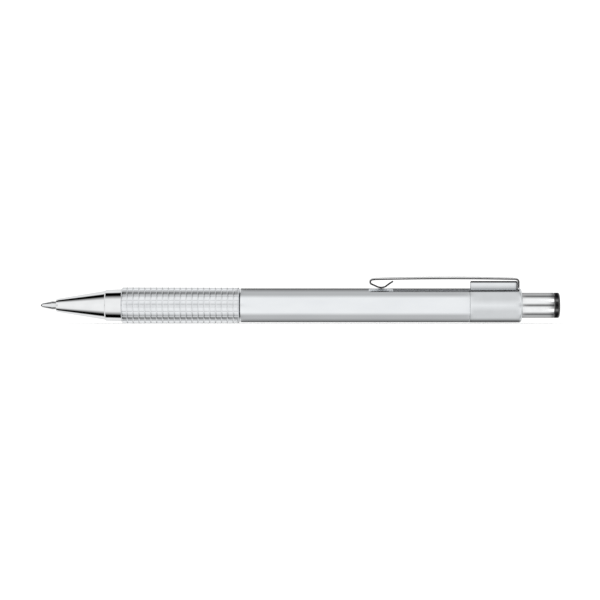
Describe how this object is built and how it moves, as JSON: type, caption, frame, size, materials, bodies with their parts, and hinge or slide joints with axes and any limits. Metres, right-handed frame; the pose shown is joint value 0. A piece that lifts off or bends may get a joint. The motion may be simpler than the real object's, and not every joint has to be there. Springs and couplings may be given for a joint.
{
  "type": "mechanical pencil",
  "caption": "Slim metal clutch pencil with a square-knurled grip, polished cone nose, wire-edge pocket clip on a ridged collar and a push button with a dark end.",
  "frame": {"origin": "the point of the lead, on the pencil's axis", "axes": "+X along the axis from the lead's point to the push button, +Z from the axis towards the pocket clip, +Y across"},
  "size_m": [0.14, 0.0096, 0.0126],
  "materials": {
    "graphite": "dark grey polymer lead",
    "polished_steel": "mirror polished",
    "black_rubber": "matt",
    "brass": "turned",
    "spring_wire": "drawn wire",
    "white_acetal": "moulded, satin",
    "smoke_plastic": "moulded, satin",
    "eraser_rubber": "soft matt",
    "satin_metal": "knurled and satin plated",
    "barrel_metal": "bright anodised, softly polished",
    "collar_metal": "satin silver",
    "clip_steel": "bright plated spring strip",
    "black_gloss": "gloss"
  },
  "bodies": {
    "barrel_unit": {"chuck_sleeve": "brass", "grip_core": "brass", "knurled_grip": "satin_metal", "barrel_insert": "brass", "barrel_tube": "barrel_metal", "clip_collar": "collar_metal", "return_spring": "spring_wire"},
    "nose_unit": {"nose_cone": "polished_steel", "lead_nozzle": "polished_steel", "lead_retainer": "black_rubber"},
    "knock_unit": {"collet": "brass", "chuck_connector": "white_acetal", "lead_tube": "smoke_plastic", "spare_leads": "graphite", "eraser_holder": "white_acetal", "eraser": "eraser_rubber"},
    "button_unit": {"push_button": "polished_steel", "button_end_plug": "black_gloss"},
    "clutch_ring_unit": {"clutch_ring": "brass"},
    "lead_unit": {"writing_lead": "graphite"},
    "clip_unit": {"pocket_clip": "clip_steel"}
  },
  "joints": [
    {"name": "knock", "type": "slide", "parent": "barrel_unit", "child": "knock_unit", "axis": [-1, 0, 0], "range_m": [0, 0.003], "deforming": ["return_spring"]},
    {"name": "clutch_ring_slide", "type": "slide", "parent": "barrel_unit", "child": "clutch_ring_unit", "axis": [-1, 0, 0], "range_m": [0, 0.001]},
    {"name": "button_pull", "type": "slide", "parent": "knock_unit", "child": "button_unit", "axis": [1, 0, 0], "range_m": [0, 0.01]},
    {"name": "lead_feed", "type": "slide", "parent": "barrel_unit", "child": "lead_unit", "axis": [-1, 0, 0], "range_m": [-0.00035, 0.01]},
    {"name": "nose_cone_off", "type": "slide", "parent": "barrel_unit", "child": "nose_unit", "axis": [-1, 0, 0], "range_m": [0, 0.0105]},
    {"name": "clip_flex", "type": "hinge", "parent": "barrel_unit", "child": "clip_unit", "pos_m": [0.129, 0, 0.0044], "axis": [0, 1, 0], "range_deg": [0, 3]}
  ],
  "couplings": [
    {"joint": "clutch_ring_slide", "follows": "knock", "ratio": 0.33333}
  ]
}
